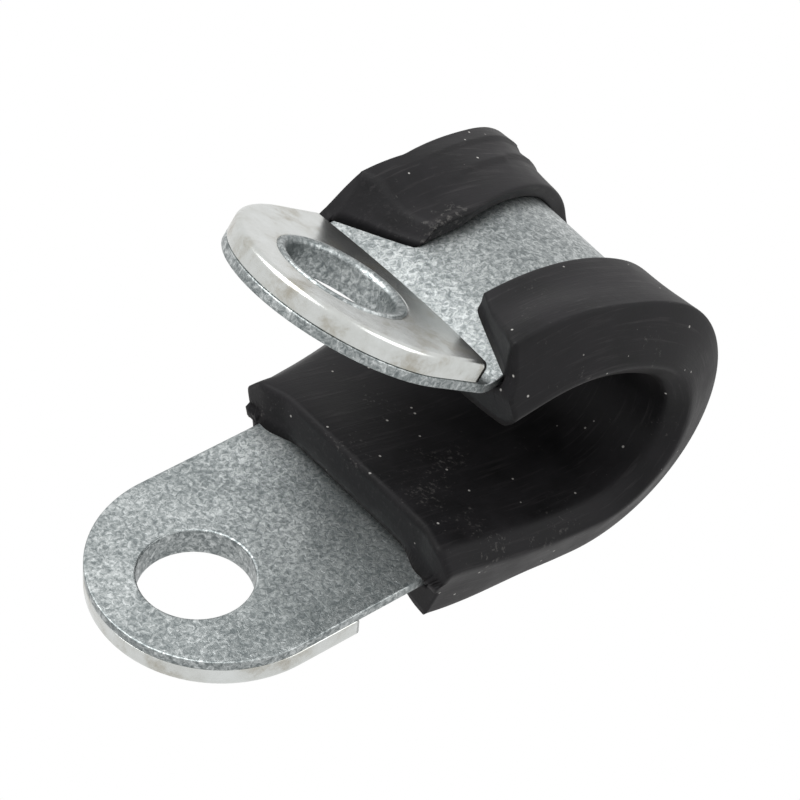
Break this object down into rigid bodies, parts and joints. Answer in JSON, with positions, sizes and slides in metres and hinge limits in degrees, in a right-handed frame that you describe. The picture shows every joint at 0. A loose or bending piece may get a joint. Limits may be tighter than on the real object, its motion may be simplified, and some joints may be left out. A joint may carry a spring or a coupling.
{
  "type": "p clip",
  "caption": "Rubber-lined P clip: a zinc-plated steel band sprung open round a loop, with a reinforcing plate and a drawn collar at each screw hole.",
  "frame": {"origin": "on the axis of the lower screw hole, in the inner face of the band", "axes": "+X along the lower lug toward the loop, +Y along the loop's axis across the band, +Z out of the band's inner face toward the upper lug"},
  "size_m": [0.0379, 0.0219, 0.0254],
  "materials": {
    "zinc_band": "bright zinc plate with a fine grain along the band",
    "zinc_plate": "bright zinc plate with tumbled edges",
    "rubber_liner": "satin black rubber with a thin dusty bloom"
  },
  "bodies": {
    "root": {"band": "zinc_band", "lower_plate": "zinc_plate", "upper_plate": "zinc_plate", "liner": "rubber_liner"}
  },
  "joints": []
}
